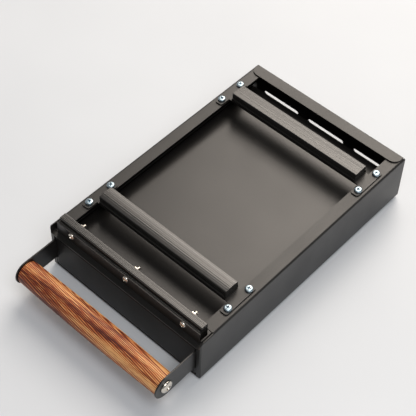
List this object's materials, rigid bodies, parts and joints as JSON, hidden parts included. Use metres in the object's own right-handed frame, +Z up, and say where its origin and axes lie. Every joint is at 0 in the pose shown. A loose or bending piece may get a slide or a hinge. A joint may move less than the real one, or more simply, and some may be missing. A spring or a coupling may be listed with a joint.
{
  "type": "espresso knock box",
  "caption": "Low open-topped steel knock box with rubber knock bars across its mouth and a tray that pulls out by a barrel-shaped wooden grip.",
  "frame": {"origin": "on the resting plane, under the middle of the whole outline (case and handle) with the drawer closed", "axes": "+X to the right seen from the handle, +Y from the handle to the slotted rear wall, +Z up; the drawer pulls out along -Y"},
  "size_m": [0.2, 0.3598, 0.0738],
  "materials": {
    "case_paint": "satin fine-textured black powder coat",
    "tray_paint": "satin black powder coat",
    "strip_rubber": "extruded rubber with fine lengthways grain",
    "bar_rubber": "extruded rubber with fine lengthways grain",
    "zinc_steel": "blue-passivated bright zinc",
    "bright_steel": "polished nickel-chrome plate",
    "plain_steel": "bright drawn",
    "glide_nylon": "natural nylon",
    "foot_rubber": "moulded, matte",
    "grip_wood": "oiled reddish hardwood with streaky grain",
    "insert_brass": "turned"
  },
  "bodies": {
    "case": {"case_shell": "case_paint", "rear_panel": "case_paint", "front_crossmember": "case_paint", "front_strip": "strip_rubber", "front_strip_screws": "bright_steel", "front_strip_nuts": "bright_steel", "middle_bar_bracket": "case_paint", "middle_bar_core": "plain_steel", "middle_bar_rubber": "bar_rubber", "middle_bar_screws": "zinc_steel", "middle_bracket_screws": "zinc_steel", "rear_bar_bracket": "case_paint", "rear_bar_core": "plain_steel", "rear_bar_rubber": "bar_rubber", "rear_bar_screws": "zinc_steel", "rear_bracket_screws": "zinc_steel", "flange_clinch_nuts": "plain_steel", "left_glide_strip": "glide_nylon", "right_glide_strip": "glide_nylon", "rear_bumpers": "foot_rubber", "rubber_feet": "foot_rubber"},
    "drawer": {"drawer_tray": "tray_paint", "raised_floor": "tray_paint", "drawer_front": "tray_paint", "handle_grip": "grip_wood", "grip_inserts": "insert_brass", "handle_screws": "bright_steel"}
  },
  "joints": [
    {"name": "drawer_slide", "type": "slide", "parent": "case", "child": "drawer", "axis": [0, -1, 0], "range_m": [0, 0.31]}
  ]
}
